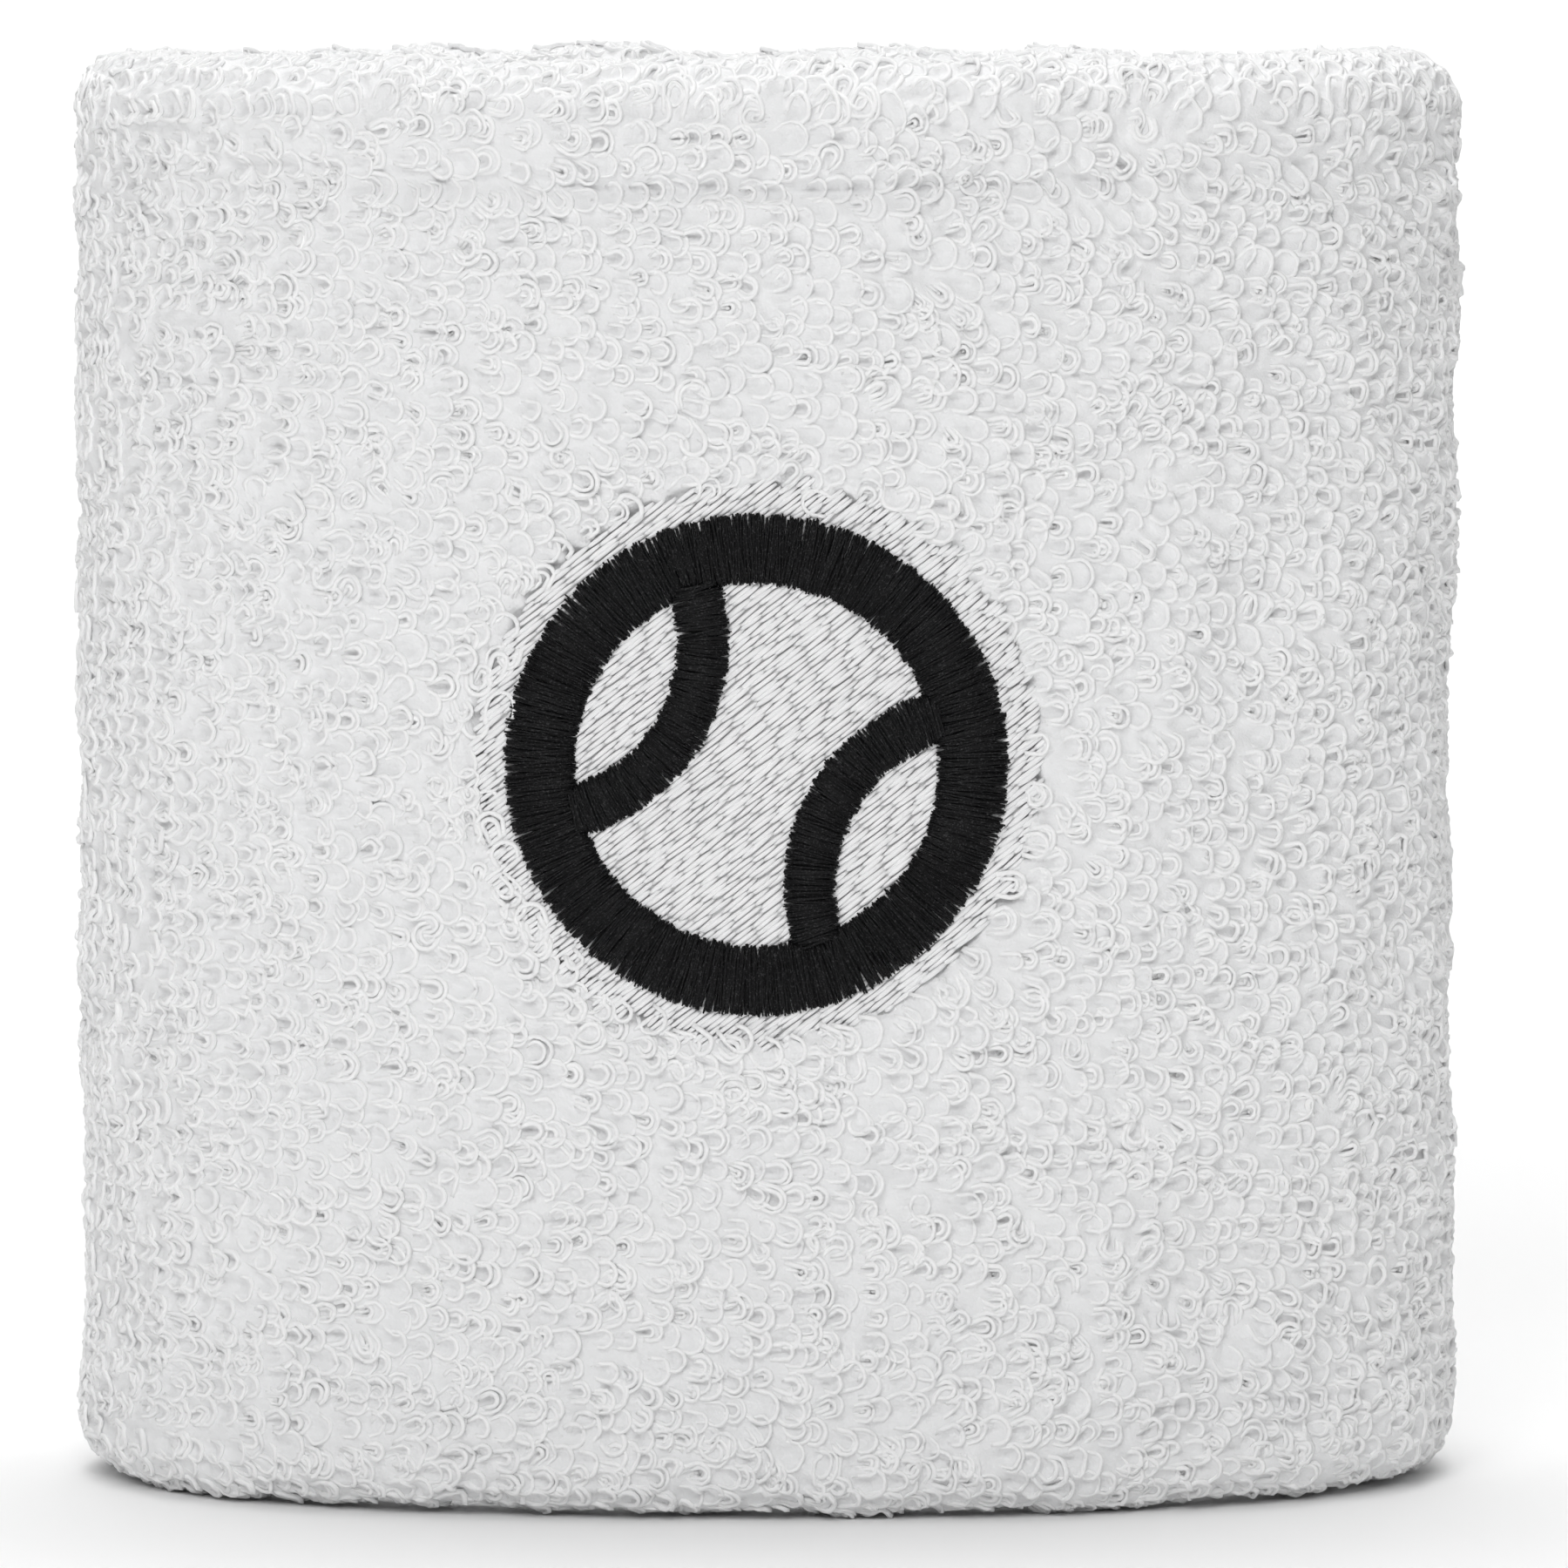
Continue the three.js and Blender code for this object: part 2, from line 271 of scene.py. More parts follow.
# ---------------------------------------------------------------- mesh making

def tubes(line, binormal, radius, sides, flatness=1.0):
    """Closed tubes along many lines at once: their corners, and their faces as index arrays.

    line is (tubes, steps, 3), binormal points across each line, and radius is (tubes, steps).
    """
    count, steps = line.shape[:2]
    tangent = np.gradient(line, axis=1)
    tangent /= np.linalg.norm(tangent, axis=-1, keepdims=True)
    binormal = binormal - (binormal * tangent).sum(-1, keepdims=True) * tangent
    binormal /= np.linalg.norm(binormal, axis=-1, keepdims=True)
    normal = np.cross(tangent, binormal)
    angle = 2 * np.pi * (np.arange(sides) + 0.5) / sides
    across = np.cos(angle)[:, None] * binormal[:, :, None]
    high = flatness * np.sin(angle)[:, None] * normal[:, :, None]
    corners = line[:, :, None] + radius[:, :, None, None] * (across + high)
    index = np.arange(count * steps * sides).reshape(count, steps, sides)
    after = np.roll(index, -1, axis=2)
    walls = np.stack([index[:, :-1], after[:, :-1], after[:, 1:], index[:, 1:]], -1)
    caps = np.concatenate([index[:, 0, ::-1], index[:, -1]])
    return corners.reshape(-1, 3), [walls.reshape(-1, 4), caps]


def join(parts):
    """One set of corners and faces from several."""
    corners, faces, start = [], [], 0
    for part_corners, part_faces in parts:
        faces += [face + start for face in part_faces]
        corners.append(part_corners)
        start += len(part_corners)
    return np.concatenate(corners), faces


def make_piece(name, corners, faces, material, flat_map=None, cut_faces=0):
    """A smooth mesh object, apart from its last cut_faces faces, which are flat. flat_map gives
    each corner's place on the unrolled fabric."""
    mesh = bpy.data.meshes.new(name)
    mesh.vertices.add(len(corners))
    mesh.vertices.foreach_set("co", corners.astype(np.float32).ravel())
    loops = np.concatenate([face.ravel() for face in faces]).astype(np.int32)
    sizes = np.concatenate([np.full(len(face), face.shape[1]) for face in faces])
    mesh.loops.add(len(loops))
    mesh.loops.foreach_set("vertex_index", loops)
    mesh.polygons.add(len(sizes))
    starts = np.concatenate([[0], np.cumsum(sizes)[:-1]]).astype(np.int32)
    mesh.polygons.foreach_set("loop_start", starts)
    mesh.update(calc_edges=True)
    mesh.polygons.foreach_set("use_smooth", np.arange(len(sizes)) < len(sizes) - cut_faces)
    if flat_map is not None:
        low, high = flat_map.min(0), flat_map.max(0)
        places = (flat_map - low) / (high - low) * 0.98 + 0.01
        layer = mesh.uv_layers.new(name="OFBake")
        layer.uv.foreach_set("vector", places[loops].astype(np.float32).ravel())
    mesh.validate()
    piece = bpy.data.objects.new(name, mesh)
    bpy.context.scene.collection.objects.link(piece)
    mesh.materials.append(material)
    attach(piece, "root")
    return piece


# ---------------------------------------------------------------- materials

class Material:
    """A Principled material and short ways to add its nodes."""

    def __init__(self, name, roughness, specular=0.5):
        self.material = bpy.data.materials.new(name)
        self.material.use_nodes = True
        self.nodes = self.material.node_tree.nodes
        self.links = self.material.node_tree.links
        self.shader = self.nodes["Principled BSDF"]
        self.shader.inputs["Roughness"].default_value = roughness
        self.shader.inputs["Specular IOR Level"].default_value = specular
        self.place = self.nodes.new("ShaderNodeTexCoord").outputs["Object"]

    def noise(self, size, detail=2.0):
        """Noise with lumps of about this size."""
        node = self.nodes.new("ShaderNodeTexNoise")
        node.inputs["Scale"].default_value = 1 / size
        node.inputs["Detail"].default_value = detail
        self.links.new(self.place, node.inputs["Vector"])
        return node.outputs["Fac"]

    def span(self, value, low, high):
        """The middle range of a noise, 0.3 to 0.7, carried to low to high."""
        node = self.nodes.new("ShaderNodeMapRange")
        node.inputs["From Min"].default_value = 0.3
        node.inputs["From Max"].default_value = 0.7
        node.inputs["To Min"].default_value = low
        node.inputs["To Max"].default_value = high
        self.links.new(value, node.inputs["Value"])
        return node.outputs["Result"]

    def mix(self, factor, first, second):
        """A mix of two colours, each of them fixed or another node's output."""
        node = self.nodes.new("ShaderNodeMix")
        node.data_type = "RGBA"
        self.links.new(factor, node.inputs["Factor"])
        for socket, colour in (("A", first), ("B", second)):
            if isinstance(colour, tuple):
                node.inputs[socket].default_value = (*colour, 1)
            else:
                self.links.new(colour, node.inputs[socket])
        return node.outputs["Result"]

    def bump(self, height, distance):
        node = self.nodes.new("ShaderNodeBump")
        node.inputs["Distance"].default_value = distance
        node.inputs["Strength"].default_value = 1.0
        self.links.new(height, node.inputs["Height"])
        self.links.new(node.outputs["Normal"], self.shader.inputs["Normal"])

    def colour(self, socket):
        self.links.new(socket, self.shader.inputs["Base Color"])

    def rough(self, socket):
        self.links.new(socket, self.shader.inputs["Roughness"])

    def brush(self, specular):
        """The soft sheen of brushed fibres."""
        self.shader.inputs["Sheen Weight"].default_value = 0.25
        self.shader.inputs["Sheen Roughness"].default_value = 0.5
        self.shader.inputs["Specular IOR Level"].default_value = specular


def yarn_material(name, light, dark, roughness, tone_size, fibre_size, fibre_height):
    """Spun yarn: tones that drift over the cloth and from strand to strand, and fine fibres."""
    made = Material(name, roughness)
    strand = made.nodes.new("ShaderNodeNewGeometry").outputs["Random Per Island"]
    drift = made.span(made.noise(tone_size), 0.0, 1.0)
    tone = made.mix(drift, dark, light)
    paler = tuple(min(0.98, channel * 1.03) for channel in light)
    made.colour(made.mix(strand, tone, paler))
    fibre = made.noise(fibre_size, detail=3.0)
    made.rough(made.span(fibre, roughness - 0.06, roughness + 0.06))
    made.bump(fibre, fibre_height)
    return made


def cotton():
    made = yarn_material(
        "terry_cotton", (0.955, 0.957, 0.96), (0.93, 0.932, 0.936), 0.9,
        tone_size=9 * MM, fibre_size=0.12 * MM, fibre_height=0.03 * MM,
    )
    made.brush(specular=0.25)
    return made.material


def cotton_in_painted_shade():
    """The body of the pile, seen between the strands: the same cotton with painted shade that makes
    it a little greyer, as it lies deeper than the loops, and blotchy at random.
    """
    made = yarn_material(
        # Painted shade: these tones are darker than the loops' cotton because the bed lies deeper,
        # not because its yarn is greyer.
        "cotton_in_painted_shade", (0.86, 0.863, 0.868), (0.77, 0.775, 0.782), 0.95,
        tone_size=0.7 * MM, fibre_size=0.16 * MM, fibre_height=0.05 * MM,
    )
    made.brush(specular=0.2)
    return made.material


def ground():
    """The fine knit under the loops."""
    made = Material("ground_yarn", 0.9, specular=0.2)
    stitch = made.noise(0.5 * MM, detail=1.0)
    tone = made.mix(made.span(stitch, 0.0, 1.0), (0.72, 0.722, 0.728), (0.82, 0.822, 0.826))
    made.colour(tone)
    made.rough(made.span(stitch, 0.84, 0.96))
    made.bump(stitch, 0.15 * MM)
    return made.material


def white_thread():
    made = yarn_material(
        "white_embroidery_thread", (0.91, 0.91, 0.915), (0.88, 0.882, 0.888), 0.5,
        tone_size=5 * MM, fibre_size=0.06 * MM, fibre_height=0.01 * MM,
    )
    return made.material


def black_thread():
    """Black thread, a little different from stitch to stitch, with fine glints painted into its
    colour along it.
    """
    made = Material("black_embroidery_thread", 0.42, specular=0.13)
    strand = made.nodes.new("ShaderNodeNewGeometry").outputs["Random Per Island"]
    glint = made.noise(0.09 * MM, detail=1.0)
    # Painted highlight: where the noise is high the base colour turns lighter grey, like small
    # glints; the same noise also sets roughness and bump.
    painted_glint = made.span(glint, -1.6, 0.8)
    thread = made.mix(strand, (0.003, 0.003, 0.0033), (0.007, 0.007, 0.0075))
    made.colour(made.mix(painted_glint, thread, (0.05, 0.05, 0.052)))
    made.rough(made.span(glint, 0.5, 0.34))
    made.bump(glint, 0.03 * MM)
    return made.material


def sewing_thread():
    made = yarn_material(
        "sewing_thread", (0.87, 0.87, 0.87), (0.8, 0.8, 0.8), 0.6,
        tone_size=4 * MM, fibre_size=0.08 * MM, fibre_height=0.02 * MM,
    )
    return made.material


def elastic():
    made = yarn_material(
        "covered_elastic", (0.85, 0.85, 0.81), (0.78, 0.78, 0.74), 0.55,
        tone_size=3 * MM, fibre_size=0.1 * MM, fibre_height=0.02 * MM,
    )
    return made.material


def nonwoven():
    made = Material("nonwoven_backing", 0.92, specular=0.2)
    fibre = made.noise(0.35 * MM, detail=4.0)
    made.colour(made.mix(made.span(fibre, 0.0, 1.0), (0.82, 0.82, 0.8), (0.92, 0.92, 0.9)))
    made.rough(made.span(fibre, 0.86, 0.98))
    made.bump(fibre, 0.05 * MM)
    return made.material


COTTON, COTTON_IN_PAINTED_SHADE, GROUND = cotton(), cotton_in_painted_shade(), ground()
WHITE, BLACK = white_thread(), black_thread()
SEWING, ELASTIC, NONWOVEN = sewing_thread(), elastic(), nonwoven()


# ---------------------------------------------------------------- terry

def smooth_step(value, low, high):
    """0 up to low, 1 from high on, and a smooth rise between them."""
    share = np.clip((value - low) / (high - low), 0, 1)
    return share * share * (3 - 2 * share)


def emblem_distance(turn, along):
    """How far a place on the fabric is from the emblem's middle, and the way from there."""
    place = fabric(turn, along)[0]
    outside = (along > OUTSIDE_TOP) & (along < OUTSIDE_TOP + HEIGHT - 2 * FOLD_RADIUS)
    right, up = place[..., 0] - EMBLEM_X, place[..., 2] - EMBLEM_Z
    distance = np.hypot(right, up)
    return np.where(outside & (place[..., 1] < 0), distance, 1.0), np.arctan2(up, right)


class Loops:
    """Where the terry loops stand, how each one leans, and how big it is."""

    def __init__(self, first, last):
        start, end = np.interp((first, last), ROUTE_RUN, SURFACE_RUN)
        rows = int(round((end - start) / ROW_PITCH))
        pitch = (end - start) / rows
        row = np.repeat(np.arange(rows), LOOPS_IN_A_ROW)
        step = np.tile(np.arange(LOOPS_IN_A_ROW), rows)
        shift = np.repeat(rng.uniform(0, 1, rows), LOOPS_IN_A_ROW)
        count = len(step)
        self.turn = (step + shift + rng.normal(0, 0.15, count)) / LOOPS_IN_A_ROW % 1
        surface = start + (row + 0.5 + rng.normal(0, 0.1, count)) * pitch
        surface += 0.2 * ROW_PITCH * lean_waves(self.turn, surface)
        along = np.interp(surface, SURFACE_RUN, ROUTE_RUN)
        self.along = np.clip(along, first, last)
        self.stretch = surface_stretch(self.along)
        self.half_width = np.clip(rng.normal(LOOP_WIDTH, 0.2 * MM, count), 0.8 * MM, 1.9 * MM) / 2
        self.reach = np.clip(rng.normal(LOOP_REACH, 0.25 * MM, count), 0.6 * MM, 2.1 * MM)
        self.rise = np.clip(rng.normal(LOOP_RISE, 0.07 * MM, count), 0.1 * MM, 0.45 * MM)
        lean = np.radians(rng.normal(0, 15, count) + 13 * lean_waves(self.turn, along))
        stray = rng.random(count) < STRAY_SHARE
        lean[stray] += np.radians(rng.normal(0, 65, stray.sum()))
        crest = smooth_step(self.along, TOP_FOLD_START, TOP_FOLD_START + 3 * MM)
        crest *= 1 - smooth_step(self.along, OUTSIDE_TOP - 1 * MM, OUTSIDE_TOP + 2 * MM)
        lean += CREST_LEAN * crest

        # Round the emblem the loops are combed away from it, and none stands under its stitches.
        distance, away = emblem_distance(self.turn, self.along)
        near = 1 - smooth_step(distance, PATCH_RADIUS - 1 * MM, PATCH_RADIUS + 4 * MM)
        turned = (away - lean + np.pi) % (2 * np.pi) - np.pi
        self.lean = lean + 0.45 * near * turned
        self.reach *= 1 + 0.3 * near
        clear = distance > PATCH_RADIUS - 0.8 * MM + rng.normal(0, 0.3 * MM, count)
        self.arms = rng.uniform(*LOOP_ARM, (count, 2)) * MM
        self.strands = np.where(clear, rng.choice((1, 2, 3), count, p=(0.5, 0.4, 0.1)), 0)

    def stamp(self, lobes, hollows):
        """Raise the bed's grid to the body of each loop, and mark the hollow in its middle."""
        size = int(2 * MM / CELL)
        here = self.strands > 0
        turns, rows = self.turn[here] * GIRTH / CELL, self.along[here] / CELL
        cos, sin = np.cos(self.lean[here]), np.sin(self.lean[here])
        half_width, reach, rise = self.half_width[here], self.reach[here], self.rise[here]
        stretch = self.stretch[here]
        depth = rng.uniform(*HOLLOW_DEPTH, len(rise)) * MM
        for i in range(-size, size + 1):
            for j in range(-size, size + 1):
                column, row = np.floor(turns) + i, np.floor(rows) + j
                across, down = (column - turns) * CELL, (row - rows) * CELL * stretch
                forward = cos * across - sin * down - (reach - half_width)
                beside = -sin * across - cos * down

                # A ridge that follows the loop's arc and fades out along its arms.
                away = np.hypot(np.maximum(forward, 0), beside) / half_width
                lobe = rise * np.exp(-(np.abs(away - 0.7) / 0.5) ** 2.5)
                lobe *= 1 - smooth_step(-forward, 0.5 * MM, 1.5 * MM)

                # A longish hollow inside the arc, a little behind its middle.
                middle = np.hypot((forward + 0.35 * half_width) / 1.6, beside) / half_width
                hollow = -depth * np.exp(-(middle / 0.52) ** 2)

                inside = (row >= 0) & (row < lobes.shape[1])
                spot = (column[inside].astype(int) % lobes.shape[0], row[inside].astype(int))
                np.maximum.at(lobes, spot, lobe[inside])
                np.minimum.at(hollows, spot, hollow[inside])

    def strand_tubes(self, here, bed, steps, sides):
        """The strands of the chosen loops, as tubes, with their places on the flat fabric."""
        found = [np.flatnonzero(here & (self.strands > k)) for k in range(3)]
        owner = np.concatenate(found)
        order = np.repeat(np.arange(3), [len(group) for group in found])[:, None]
        total = len(owner)
        cos, sin = np.cos(self.lean[owner, None]), np.sin(self.lean[owner, None])

        # Each strand is an arc of about half a turn, with an arm that runs back from each end.
        most = np.radians(rng.normal(86, 12, (total, 1)))
        share = np.linspace(-1, 1, steps)[None]
        theta = np.clip(share / ARC_SHARE, -1, 1) * most
        radius = self.half_width[owner, None] - STRAND_STEP * order
        radius = radius * (1 + rng.normal(0, 0.05, (total, 1)))
        centre = self.reach[owner, None] - self.half_width[owner, None]
        centre = centre - 0.04 * MM * order + rng.normal(0, 0.05 * MM, (total, 1))
        forward = centre + radius * np.cos(theta) * (1 + rng.normal(0, 0.12, (total, 1)))
        arm = np.clip((np.abs(share) - ARC_SHARE) / (1 - ARC_SHARE), 0, 1)
        arm_length = np.where(share < 0, self.arms[owner, :1], self.arms[owner, 1:])
        forward = forward - arm * arm_length
        side = radius * np.sin(theta) * (1 - 0.3 * arm) + rng.normal(0, 0.05 * MM, (total, 1)) * arm
        turn = self.turn[owner, None] + (cos * forward - sin * side) / GIRTH
        along = self.along[owner, None] - (sin * forward + cos * side) / self.stretch[owner, None]
        along = np.clip(along, 0, FABRIC_LENGTH)
        loose = rng.random((total, 1)) < FREE_SHARE
        free = np.where(loose, rng.uniform(0.05, 0.22, (total, 1)), 0.0)
        stand = (STRAND_STAND + free * MM) * (1 - share ** 2) - 0.17 * MM * share ** 4
        lift = unevenness(turn, along) + bed_lift(bed, turn, along) + stand
        line, facing = fabric(turn, along, lift)
        thickness = STRAND_RADIUS * rng.uniform(0.8, 1.2, (total, 1)) * np.ones((1, steps))
        corners, faces = tubes(line, facing, thickness, sides)
        flat = np.stack([turn * GIRTH, along], -1)
        flat = np.repeat(flat[:, :, None], sides, 2)
        corners[:, 2] = np.maximum(corners[:, 2], LOWEST)
        return corners, faces, flat.reshape(-1, 2)


def terry_loops(name, loops, bed, first, last, sectors, steps, sides):
    """The strands of the loops between two distances along the fabric, sector by sector."""
    for sector in range(sectors):
        here = (loops.turn * sectors).astype(int) == sector
        here &= (loops.along >= first) & (loops.along < last)
        corners, faces, flat = loops.strand_tubes(here, bed, steps, sides)
        piece = make_piece(f"{name}_{sector + 1}", corners, faces, COTTON, flat)
        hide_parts("terry_pile")


def bed_lift(height, turn, along):
    """The bed's height over the fabric's face, between the points of its grid."""
    column, row = turn * GIRTH / CELL, along / CELL
    left, low = np.floor(column), np.floor(row)
    right_share, high_share = column - left, row - low
    left = left.astype(int)
    low = np.clip(low.astype(int), 0, height.shape[1] - 2)
    columns = height.shape[0]
    near = height[left % columns, low] * (1 - high_share)
    near += height[left % columns, low + 1] * high_share
    far = height[(left + 1) % columns, low] * (1 - high_share)
    far += height[(left + 1) % columns, low + 1] * high_share
    return near * (1 - right_share) + far * right_share


def bed_height(groups):
    """The height of the matted pile on a grid over the whole fabric."""
    lobes = np.zeros((int(round(GIRTH / CELL)), int(FABRIC_LENGTH / CELL) + 2))
    hollows = np.zeros(lobes.shape)
    for group in groups:
        group.stamp(lobes, hollows)
    streaks = rng.normal(0, BED_STREAK / STREAK_CELLS ** 0.5, lobes.shape)
    steps = np.arange(STREAK_CELLS) - STREAK_CELLS // 2
    streaks = sum(np.roll(streaks, step, axis=0) for step in steps)
    return BED_RISE + lobes + hollows + streaks + rng.normal(0, BED_GRAIN, lobes.shape)


def terry_bed(name, height, first, last, sectors, pitch):
    """The matted body of the pile, from which the loops' strands stand out, sector by sector.

    Each sector's edges dip under its neighbours, apart from those at the fabric's cut edges.
    """
    start, end = np.interp((first, last), ROUTE_RUN, SURFACE_RUN)
    columns, rows = int(GIRTH / sectors / pitch), int((end - start) / pitch)
    under = len(EDGE_DIPS)
    tucked = [under if 0 < edge < FABRIC_LENGTH else 0 for edge in (first, last)]
    surface = start + (end - start) / rows * np.arange(-tucked[0], rows + tucked[1] + 1)
    along = np.interp(surface, SURFACE_RUN, ROUTE_RUN)
    for sector in range(sectors):
        turn = (sector + 0.5 + np.arange(-under, columns + under + 1) / columns) / sectors
        turn_grid, along_grid = np.meshgrid(turn, along, indexing="ij")
        lift = bed_lift(height, turn_grid, along_grid)

        # Under the emblem the pile is pressed down, up to an uneven edge.
        distance = emblem_distance(turn_grid, along_grid)[0]
        distance += 0.25 * MM * edge_waves(turn_grid, along_grid)
        pressed = 1 - smooth_step(distance, PATCH_RADIUS - 0.7 * MM, PATCH_RADIUS + 0.2 * MM)
        lift = lift * (1 - pressed) + PRESSED_RISE * pressed

        dips = np.zeros(lift.shape)
        for place, dip in enumerate(EDGE_DIPS):
            dips[[place, -1 - place]] += dip
            if tucked[0]:
                dips[:, place] += dip
            if tucked[1]:
                dips[:, -1 - place] += dip
        lift -= dips
        for edge, inward in ((0, 1), (1, -1)):
            if not tucked[edge]:
                along_grid[dips[:, -edge] > 0, -edge] += inward * CUT_INSET

        uneven = unevenness(turn_grid, along_grid)
        outer = fabric(turn_grid, along_grid, uneven + lift)[0]
        inner = fabric(turn_grid, along_grid, uneven + BED_BACK + 0.2 * dips)[0]
        corners = np.concatenate([outer.reshape(-1, 3), inner.reshape(-1, 3)])
        corners[:, 2] = np.maximum(corners[:, 2], LOWEST)
        size = lift.size
        index = np.arange(size).reshape(lift.shape)
        face = np.stack([index[:-1, :-1], index[:-1, 1:], index[1:, 1:], index[1:, :-1]], -1)
        face = face.reshape(-1, 4)
        rim = np.concatenate([index[0, :-1], index[:-1, -1], index[-1, :0:-1], index[:0:-1, 0]])
        after = np.roll(rim, -1)
        sides = np.stack([after, rim, rim + size, after + size], -1)

        # The underside never shows, so its part of the map is a narrow strip.
        flat = np.stack([turn_grid.ravel() * GIRTH, along_grid.ravel()], -1)
        below = flat * (1, 0.04) + (0, along[-1] - along[0] * 0.04 + 1 * MM)
        # The bed wears the cotton with painted shade, darker than the loops' strands.
        piece = make_piece(
            f"{name}_{sector + 1}", corners, [face, face[:, ::-1] + size, sides],
            COTTON_IN_PAINTED_SHADE, np.concatenate([flat, below]), len(sides),
        )
        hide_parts("terry_pile")


def ground_fabric():
    """The knit that the loops stand in: one closed skin, folded double and open at the seam."""
    across, down = 300, 130
    turn = np.arange(across) / across
    along = np.linspace(0, FABRIC_LENGTH, down)
    turn_grid, along_grid = np.meshgrid(turn, along, indexing="ij")
    lift = unevenness(turn_grid, along_grid)
    outer = fabric(turn_grid, along_grid, lift)[0]
    inner = fabric(turn_grid, along_grid, lift - GROUND_THICKNESS)[0]
    section = np.concatenate([outer, inner[:, ::-1]], 1)
    section[..., 2] = np.maximum(section[..., 2], LOWEST)
    index = np.arange(across * 2 * down).reshape(across, 2 * down)
    beside = np.roll(index, -1, axis=0)
    after, beside_after = np.roll(index, -1, axis=1), np.roll(beside, -1, axis=1)
    faces = np.stack([index, after, beside_after, beside], -1).reshape(-1, 4)
    piece = make_piece("ground_fabric", section.reshape(-1, 3), [faces], GROUND)
    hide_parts("ground_knit")
    return piece


# ---------------------------------------------------------------- embroidery

def front_turns(depth):
    """How far to the right each share of a turn is, on the front at a depth under the tips."""
    turn = np.linspace(0.5, 1, 2000)
    point, out = around(turn)
    return (point + out * (WALL - depth))[:, 0], turn


FRONT_X, FRONT_TURN = front_turns(depth=0.7 * MM)


def on_front(x, z, depth):
    """Points on the front at a depth under the loop tips, and the way out there."""
    turn = np.interp(x, FRONT_X, FRONT_TURN)
    along = OUTSIDE_TOP + HEIGHT - FOLD_RADIUS - z
    lift = 0.5 * unevenness(turn, along)
    point, out = around(turn)
    flat = point + out * (WALL - depth + lift)[..., None]
    facing = np.concatenate([out, np.zeros((*out.shape[:-1], 1))], -1)
    return np.concatenate([flat, z[..., None]], -1), facing


def stitches(start, end, depth, radius, bulge, steps=8, sides=6, flatness=0.75):
    """Stitches between pairs of (x, z) places round the emblem's middle, each a thread that
    comes up out of the cloth and goes back down into it."""
    share = np.linspace(0, 1, steps)
    place = start[:, None] * (1 - share[None, :, None]) + end[:, None] * share[None, :, None]
    arch = np.sin(np.pi * share) ** 0.6
    depths = np.asarray(depth)[..., None] - bulge[:, None] * arch[None]
    line, facing = on_front(EMBLEM_X + place[..., 0], EMBLEM_Z + place[..., 1], depths)
    taper = 0.45 + 0.55 * np.sin(np.pi * np.clip(share, 0.02, 0.98)) ** 0.45
    thickness = np.asarray(radius)[..., None] * taper[None] * np.ones((len(start), 1))
    tangent = np.gradient(line, axis=1)
    return tubes(line, np.cross(facing, tangent), thickness, sides, flatness)


def disc(depth, radius, rings=40, spokes=120):
    """A thin round layer on the front, closed all round."""
    distance = radius * (np.arange(rings) + 1) / rings
    angle = 2 * np.pi * np.arange(spokes) / spokes
    x = EMBLEM_X + distance[:, None] * np.cos(angle)
    z = EMBLEM_Z + distance[:, None] * np.sin(angle)
    sheets = []
    for level in (depth, depth + LAYER_THICKNESS):
        middle, _ = on_front(np.array([EMBLEM_X]), np.array([EMBLEM_Z]), np.array([level]))
        points, _ = on_front(x, z, np.full(x.shape, level))
        sheets.append(np.concatenate([middle, points.reshape(-1, 3)]))
    size = 1 + rings * spokes
    index = 1 + np.arange(rings * spokes).reshape(rings, spokes)
    after = np.roll(index, -1, axis=1)
    quads = np.stack([index[:-1], index[1:], after[1:], after[:-1]], -1).reshape(-1, 4)
    fan = np.stack([np.zeros(spokes, int), index[0], after[0]], -1)
    rim = np.stack([index[-1], index[-1] + size, after[-1] + size, after[-1]], -1)
    faces = [quads, fan, rim, quads[:, ::-1] + size, fan[:, ::-1] + size]
    return np.concatenate(sheets), faces


def fill_rows(row_gap, length, ragged):
    """Rows of running stitches that fill the round patch, each row shifted from the last."""
    starts, ends = [], []
    along = np.array([math.cos(FILL_ANGLE), math.sin(FILL_ANGLE)])
    across = np.array([-math.sin(FILL_ANGLE), math.cos(FILL_ANGLE)])
    rows = int(2 * FILL_RADIUS / row_gap)
    for row in range(rows):
        offset = -FILL_RADIUS + (row + 0.5) * row_gap
        half = math.sqrt(max(FILL_RADIUS * FILL_RADIUS - offset * offset, 0))
        low, high = -half - rng.uniform(0, ragged), half + rng.uniform(0, ragged)
        cuts = [low]
        cut = low + length * (0.25 + 0.75 * ((row * 0.382) % 1))
        while cut < high - 0.3 * length:
            cuts.append(cut + rng.normal(0, 0.06 * length))
            cut += length * rng.uniform(0.9, 1.1)
        cuts.append(high)
        for first, last in zip(cuts, cuts[1:]):
            wander = rng.normal(0, 0.12 * row_gap, 2)
            starts.append(first * along + (offset + wander[0]) * across)
            ends.append((last + 0.12 * MM) * along + (offset + wander[1]) * across)
    return np.array(starts), np.array(ends)


def white_patch():
    """The white stitches that hold the loops down round and under the ball."""
    start, end = fill_rows(row_gap=0.27 * MM, length=1.8 * MM, ragged=1.2 * MM)
    count = len(start)
    depth = FILL_DEPTH + rng.normal(0, 0.03 * MM, (count, 1))
    radius = FILL_THREAD_RADIUS * rng.uniform(0.85, 1.15, (count, 1))
    bulge = rng.uniform(0.1, 0.2, count)[:, None] * MM
    threads = stitches(start, end, depth[:, 0], radius[:, 0], bulge[:, 0])
    corners, faces = join([threads, disc(LAYER_DEPTH, PATCH_RADIUS - 0.6 * MM)])
    piece = make_piece("white_patch_stitches", corners, faces, WHITE)
    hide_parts("white_stitch_patch")


